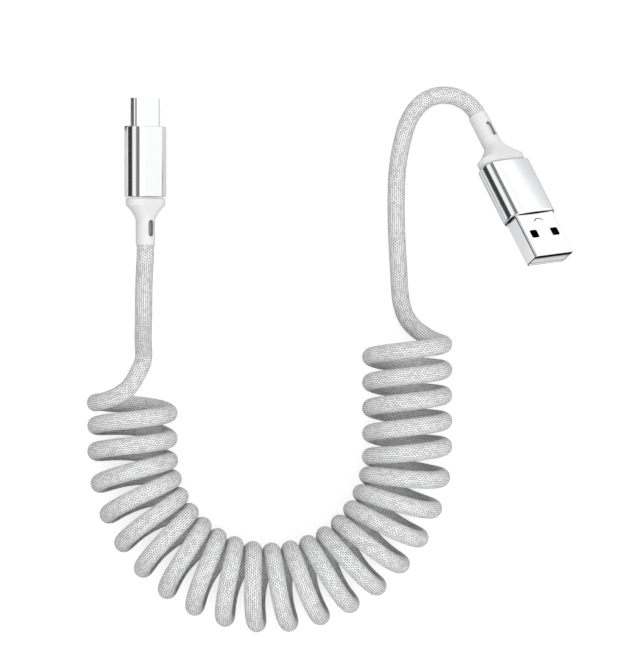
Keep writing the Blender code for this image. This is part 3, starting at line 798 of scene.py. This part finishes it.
studio = {
    "floorSize": 4.0,
    "floorColour": (0.90, 0.90, 0.90, 1),   # far away, in reflections
    "floorShown": (0.42, 0.42, 0.42, 1),    # to the camera, with the glow on top
    "floorBounce": (0.12, 0.12, 0.12, 1),   # to the soft light on the cord
    "floorDrop": 0.0002,                    # so that what lies on the floor doesn't share its plane
    "floorRoughness": 0.9,
    "floorSpecular": 0.1,
    "nearColour": (0.58, 0.58, 0.59, 1),    # of the floor near the cable, in reflections only
    "nearMiddle": (-0.03, 0.0, 0.0),
    "nearTo": 0.09,                         # metres from there that this reaches
    "farFrom": 0.17,
    "tipColour": (0.03, 0.03, 0.03, 1),     # and right beside the plugs' tips
    # where that is: a point, and the distances from it where it starts to fade and ends
    "tips": (((0.053, -0.027, 0.0), 0.008, 0.018), ((-0.058, 0.0225, 0.0), 0.009, 0.011),
             ((-0.066, 0.0225, 0.0), 0.009, 0.011), ((-0.074, 0.0225, 0.0), 0.009, 0.011),
             ((-0.096, 0.0330, 0.0), 0.018, 0.020)),
    "floorGlow": 0.72,
    "skyShown": (0.97, 0.97, 0.97, 1),      # to the camera
    # what metal mirrors: brightness by the angle from straight up, in degrees, to the right (+x)
    "tent": ((-90, 0.04), (-46, 0.04), (-39, 0.95), (-12, 0.95), (-5, 0.20), (20, 0.20), (29, 1.25),
             (60, 1.25), (80, 1.02), (90, 1.00)),
    # what lights everything else, a soft dome
    "dome": ((-90, 0.70), (-40, 1.10), (0, 1.38), (45, 1.50), (90, 1.00)),
}


# A colour ramp over the angle across the cable, from the left horizon to the right one.
def angleRamp(tree, angle, stops):
    place = rangeOf(tree, angle, -math.pi / 2, math.pi / 2, 0.0, 1.0)
    ramp = newNode(tree, "ShaderNodeValToRGB")
    brightest = max(value for _, value in stops)
    elements = ramp.color_ramp.elements
    while len(elements) > 1:
        elements.remove(elements[-1])
    for number, (degrees, value) in enumerate(stops):
        element = elements[0] if number == 0 else elements.new((degrees + 90) / 180)
        element.position = (degrees + 90) / 180
        element.color = (value / brightest,) * 3 + (1,)
    tree.links.new(place, ramp.inputs["Fac"])
    glow = newNode(tree, "ShaderNodeVectorMath", operation="SCALE")
    tree.links.new(ramp.outputs["Color"], glow.inputs[0])
    glow.inputs["Scale"].default_value = brightest
    return glow.outputs[0]


def makeFloor():
    half = studio["floorSize"] / 2
    mesh = bpy.data.meshes.new("floor")
    corners = [(-half, -half, 0), (half, -half, 0), (half, half, 0), (-half, half, 0)]
    mesh.from_pydata(corners, [], [(0, 1, 2, 3)])
    floor = bpy.data.objects.new("floor", mesh)
    bpy.context.scene.collection.objects.link(floor)
    floor.location.z = -studio["floorDrop"]
    material, tree, shader = newMaterial("paleFloor")
    place = newNode(tree, "ShaderNodeTexCoord")

    def reachFrom(middle, low, high):
        reach = newNode(tree, "ShaderNodeVectorMath", operation="DISTANCE")
        tree.links.new(place.outputs["Object"], reach.inputs[0])
        reach.inputs[1].default_value = middle
        return rangeOf(tree, reach.outputs["Value"], low, high, 0.0, 1.0, smooth=True)

    far = reachFrom(studio["nearMiddle"], studio["nearTo"], studio["farFrom"])
    mirrored = blendColour(tree, far, studio["nearColour"], studio["floorColour"])
    for tip in studio["tips"]:
        mirrored = blendColour(tree, reachFrom(*tip), studio["tipColour"], mirrored)
    path = newNode(tree, "ShaderNodeLightPath")
    lit = blendColour(tree, path.outputs["Is Camera Ray"], studio["floorBounce"], studio["floorShown"])
    shown = blendColour(tree, path.outputs["Is Glossy Ray"], lit, mirrored)
    tree.links.new(shown, shader.inputs["Base Color"])
    tree.links.new(calc(tree, "MULTIPLY", path.outputs["Is Camera Ray"], studio["floorGlow"]),
                   shader.inputs["Emission Strength"])
    shader.inputs["Roughness"].default_value = studio["floorRoughness"]
    shader.inputs["Specular IOR Level"].default_value = studio["floorSpecular"]
    shader.inputs["Emission Color"].default_value = (1, 1, 1, 1)
    mesh.materials.append(material)


def makeWorld():
    world = bpy.data.worlds.new("studioTent")
    bpy.context.scene.world = world
    world.use_nodes = True
    tree = world.node_tree
    direction = newNode(tree, "ShaderNodeTexCoord")
    parts = newNode(tree, "ShaderNodeSeparateXYZ")
    tree.links.new(direction.outputs["Generated"], parts.inputs[0])
    angle = calc(tree, "ARCTAN2", parts.outputs["X"], parts.outputs["Z"])
    path = newNode(tree, "ShaderNodeLightPath")
    lit = blendColour(tree, path.outputs["Is Glossy Ray"], angleRamp(tree, angle, studio["dome"]),
                      angleRamp(tree, angle, studio["tent"]))
    seen = blendColour(tree, path.outputs["Is Camera Ray"], lit, studio["skyShown"])
    tree.links.new(seen, tree.nodes["Background"].inputs["Color"])


makeFloor()
makeWorld()
bpy.context.scene.view_settings.view_transform = "Standard"
print("studio made")
